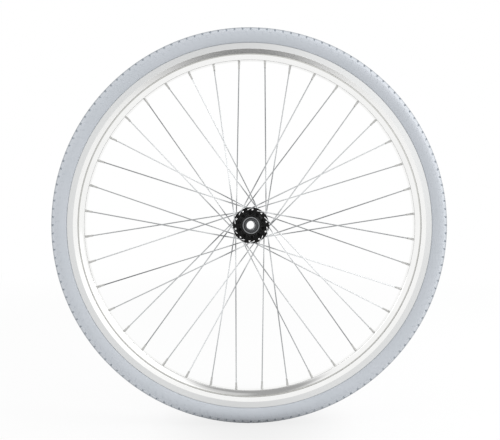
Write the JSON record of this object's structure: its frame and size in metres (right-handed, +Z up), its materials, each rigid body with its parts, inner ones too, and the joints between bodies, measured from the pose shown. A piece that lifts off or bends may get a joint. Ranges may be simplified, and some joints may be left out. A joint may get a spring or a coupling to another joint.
{
  "type": "bicycle wheel",
  "caption": "Wire-spoked bicycle wheel with a silver hollow rim, a grey airless tyre and a black hub that turns on sealed bearings round a through-axle bore.",
  "frame": {"origin": "centre of the wheel, on the axle's axis in the rim's middle plane", "axes": "+Y along the axle from the right side to the left, +X the way the wheel rolls, +Z up"},
  "size_m": [0.694, 0.1, 0.694],
  "materials": {
    "tyre": "grey moulded foam rubber, satin",
    "rim": "silver anodised, satin",
    "spoke": "drawn stainless wire",
    "nipple": "nickel plated",
    "hub": "black anodised, satin",
    "sleeve": "grey anodised",
    "cap": "dark grey anodised",
    "race": "ground steel",
    "seal": "matt black",
    "ball": "polished steel",
    "cage": "moulded nylon"
  },
  "bodies": {
    "axle": {"axle_sleeve": "sleeve", "right_end_cap": "cap", "right_bearing_inner_race": "race", "left_end_cap": "cap", "left_bearing_inner_race": "race"},
    "wheel": {"rim": "rim", "tyre": "tyre", "right_leading_spokes": "spoke", "right_leading_nipples": "nipple", "right_trailing_spokes": "spoke", "right_trailing_nipples": "nipple", "left_leading_spokes": "spoke", "left_leading_nipples": "nipple", "left_trailing_spokes": "spoke", "left_trailing_nipples": "nipple", "hub_shell": "hub", "right_bearing_outer_race": "race", "right_bearing_outer_seal": "seal", "right_bearing_inner_seal": "seal", "left_bearing_outer_race": "race", "left_bearing_outer_seal": "seal", "left_bearing_inner_seal": "seal"},
    "right_balls": {"right_bearing_balls": "ball", "right_ball_cage": "cage"},
    "left_balls": {"left_bearing_balls": "ball", "left_ball_cage": "cage"}
  },
  "joints": [
    {"name": "wheel_spin", "type": "hinge", "parent": "axle", "child": "wheel", "pos_m": [0, 0, 0], "axis": [0, 1, 0], "continuous": true},
    {"name": "right_balls_turn", "type": "hinge", "parent": "axle", "child": "right_balls", "pos_m": [0, 0, 0], "axis": [0, 1, 0], "continuous": true},
    {"name": "left_balls_turn", "type": "hinge", "parent": "axle", "child": "left_balls", "pos_m": [0, 0, 0], "axis": [0, 1, 0], "continuous": true}
  ],
  "couplings": [
    {"joint": "right_balls_turn", "follows": "wheel_spin", "ratio": 0.57056},
    {"joint": "left_balls_turn", "follows": "wheel_spin", "ratio": 0.57056}
  ]
}
